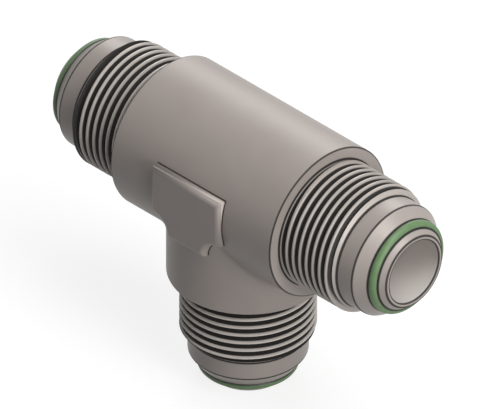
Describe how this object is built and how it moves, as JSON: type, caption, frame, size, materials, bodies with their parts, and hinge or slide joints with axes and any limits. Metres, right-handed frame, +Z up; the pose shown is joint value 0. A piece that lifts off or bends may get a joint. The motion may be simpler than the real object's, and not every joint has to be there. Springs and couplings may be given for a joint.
{
  "type": "jic tee fitting",
  "caption": "Steel union tee with male 37 degree flare ends, outside threads, seal rings in the cones and wrench pads.",
  "frame": {"origin": "centre of the branch's flat end face, on which the tee stands", "axes": "+Z up along the branch to the run, +X along the run, +Y from the front wrench pad to the back one"},
  "size_m": [0.0648, 0.0242, 0.0437],
  "materials": {
    "plated_steel": "satin",
    "seal_rubber": "satin"
  },
  "bodies": {
    "root": {"tee_body": "plated_steel", "seal_right": "seal_rubber", "seal_left": "seal_rubber", "seal_branch": "seal_rubber"}
  },
  "joints": []
}
